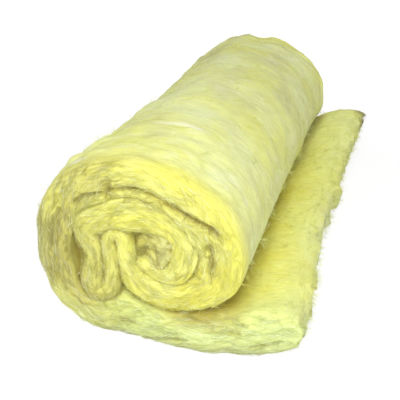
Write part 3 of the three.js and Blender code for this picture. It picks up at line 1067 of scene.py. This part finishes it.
# every lock's strands grow together, by extruding all the tips at once along the wool
def growStrands(bm, tree, faces, weights, plan, growth):
    rng = random.Random(plan["seed"])
    flow = bm.verts.layers.float_vector["flow"]
    strands = bmesh.new()
    theirs, ours = bm.verts.layers, strands.verts.layers
    girth, shade = ours.float.new("girth"), ours.float.new("shade")
    # each strand takes its root's hollow, pit shade and tint, so the material paints the same shade on it
    copied = [(theirs.float[key], ours.float.new(key)) for key in ("hollow", "pitShade", "tint")]
    copied.append((theirs.float_vector["flatPlace"], ours.float_vector.new("flatPlace")))
    rooted = []
    for face in rng.choices(faces, weights, k=plan["locks"]):
        rooted += rootLock(bm, tree, face, strands, (girth, shade, copied), plan, rng)
    tips = [tip for tip, habit in rooted]
    habits = [habit for tip, habit in rooted]
    drift = growth["drift"]
    bend = min(plan["spread"], growth["spreadLimit"]) / growth["bend"]
    for step in range(1, plan["segments"] + 1):
        share = step / plan["segments"]
        arch = math.sin(math.pi * share) * growth["arch"] + growth["archBase"]
        tips = bmesh.ops.extrude_vert_indiv(strands, verts=tips)["verts"]
        for tip, habit in zip(tips, habits):
            heading, stride, rise, radius, side, wild, follow = habit
            if "scatter" in plan:
                target = tip.co + heading * stride
                heading += Vector((rng.gauss(0, drift), rng.gauss(0, drift), rng.gauss(*growth["climb"])))
            else:
                place, normal, index, gap = tree.find_nearest(tip.co + heading * stride)
                target = place + normal * rise * (share ** 2 if wild else arch)
                heading = heading * (1 - follow) + bm.faces[index].verts[0][flow] * side * follow
                heading -= normal * heading.dot(normal)
                heading.rotate(Quaternion(normal, math.radians(rng.gauss(0, bend))))
            target.z = max(target.z, growth["floorGap"] * mm)
            tip.co = target
            habit[0] = heading.normalized()
            tip[girth] = radius * (1 if share < growth["thinFrom"] else growth["tipGirth"])
    return strands


# round thin tubes along the strands
def tubeNodes(name, material):
    group = bpy.data.node_groups.new(name, "GeometryNodeTree")
    group.interface.new_socket("Geometry", in_out="INPUT", socket_type="NodeSocketGeometry")
    group.interface.new_socket("Geometry", in_out="OUTPUT", socket_type="NodeSocketGeometry")
    start = addNode(group, "NodeGroupInput").outputs[0]
    curves = addNode(group, "GeometryNodeMeshToCurve", {"Mesh": start}).outputs["Curve"]
    circle = addNode(group, "GeometryNodeCurvePrimitiveCircle", {"Resolution": 3, "Radius": 1.0})
    girth = addNode(group, "GeometryNodeInputNamedAttribute", {"Name": "girth"}, data_type="FLOAT")
    tubes = addNode(group, "GeometryNodeCurveToMesh", {
        "Curve": curves, "Profile Curve": circle.outputs["Curve"],
        "Scale": girth.outputs["Attribute"], "Fill Caps": True}).outputs["Mesh"]
    finished = addNode(group, "GeometryNodeSetMaterial", {"Geometry": tubes, "Material": material})
    addNode(group, "NodeGroupOutput", {0: finished.outputs["Geometry"]})
    return group


def makeStrands(name, strands, material):
    mesh = bpy.data.meshes.new(name + "Lines")
    strands.to_mesh(mesh)
    strands.free()
    helper = addObject(name + "Lines", mesh)
    helper.modifiers.new("tubes", "NODES").node_group = tubeNodes(name + "Tubes", material)
    tubes = bpy.data.meshes.new_from_object(helper.evaluated_get(bpy.context.evaluated_depsgraph_get()))
    bpy.data.objects.remove(helper)
    bm = bmesh.new()
    bm.from_mesh(tubes)
    bmesh.ops.recalc_face_normals(bm, faces=bm.faces)
    bpy.data.meshes.remove(tubes)
    return finishMesh(bm, name, material)


bm = makeBlanket(blanketPlan)
makeCamera(cameraPlan, placeLikeCad(bm))
print("camera placed")
capEnds(bm)
bmesh.ops.recalc_face_normals(bm, faces=bm.faces)
relief(bm, reliefPlan, splitPlans, tintPlans)
print("blanket wound")
shadeHollows(bm, hollowPlan)
print("hollows shaded")
wool = woolMaterial("glassWool", woolPlan, 0.35, 0)
fibre = woolMaterial("looseFibre", woolPlan, 0, 0.24)
tree = BVHTree.FromBMesh(bm)
bm.faces.ensure_lookup_table()
for name, (faces, weights) in sortFaces(bm, fieldPlan).items():
    strands = growStrands(bm, tree, faces, weights, strandPlans[name], growthPlan)
    tuft = makeStrands(name, strands, fibre)
    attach(tuft, "root")
    print(name, len(tuft.data.polygons))
blanket = finishMesh(bm, "glassWoolBlanket", wool)
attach(blanket, "root")
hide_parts("wool_blanket")
print("blanket made", len(blanket.data.polygons))

# floor, backdrop and light
stagePlan = {
    "floorSize": 12,
    "floor": {"Base Color": (0.94, 0.94, 0.94, 1), "Roughness": 1},
    "whitens": (0.35, 0.75, 0.78, 1),  # from and to how far away, from and to which share
    "whiteStrength": 1.08,
    "worldStrength": 0.47,
    "white": (1, 1, 1, 1),
}


# how the camera sees it is mixed towards white by the share; the light it gives stays
def whiten(tree, lit, white, output, share):
    seen = addNode(tree, "ShaderNodeLightPath").outputs["Is Camera Ray"]
    share = calculate(tree, "MULTIPLY", seen, share)
    mix = addNode(tree, "ShaderNodeMixShader", {"Fac": share, 1: lit, 2: white}).outputs["Shader"]
    setInputs(tree, tree.nodes[output], {"Surface": mix})


def makeFloor(plan):
    material = bpy.data.materials.new("paleFloor")
    material.use_nodes = True
    tree = material.node_tree
    shader = tree.nodes["Principled BSDF"]
    setInputs(tree, shader, plan["floor"])
    white = addNode(tree, "ShaderNodeEmission", {"Strength": plan["whiteStrength"]}).outputs["Emission"]
    place = addNode(tree, "ShaderNodeTexCoord").outputs["Object"]
    away = addNode(tree, "ShaderNodeVectorMath", {0: place}, operation="LENGTH").outputs["Value"]
    whiten(tree, shader.outputs["BSDF"], white, "Material Output", remap(tree, away, *plan["whitens"]))
    bm = bmesh.new()
    bmesh.ops.create_grid(bm, x_segments=1, y_segments=1, size=plan["floorSize"] / 2)
    finishMesh(bm, "floor", material)


def makeWorld(plan):
    scene.world = bpy.data.worlds.new("studio")
    scene.world.use_nodes = True
    tree = scene.world.node_tree
    light = tree.nodes["Background"]
    setInputs(tree, light, {"Color": plan["white"], "Strength": plan["worldStrength"]})
    white = addNode(tree, "ShaderNodeBackground", {"Color": plan["white"], "Strength": 1})
    whiten(tree, light.outputs["Background"], white.outputs["Background"], "World Output", 1.0)


def makeLamp(name, place, target, size, power):
    data = bpy.data.lights.new(name, "AREA")
    data.shape = "DISK"
    data.size = size
    data.energy = power
    lamp = addObject(name, data)
    lamp.location = place
    lamp.rotation_euler = (Vector(target) - Vector(place)).to_track_quat("-Z", "Y").to_euler()


makeFloor(stagePlan)
makeWorld(stagePlan)
makeLamp("keyLamp", place=(0.2, -1.15, 0.95), target=(0, -0.1, 0.1), size=0.8, power=15.6)
scene.view_settings.view_transform = "Standard"
print("stage made")
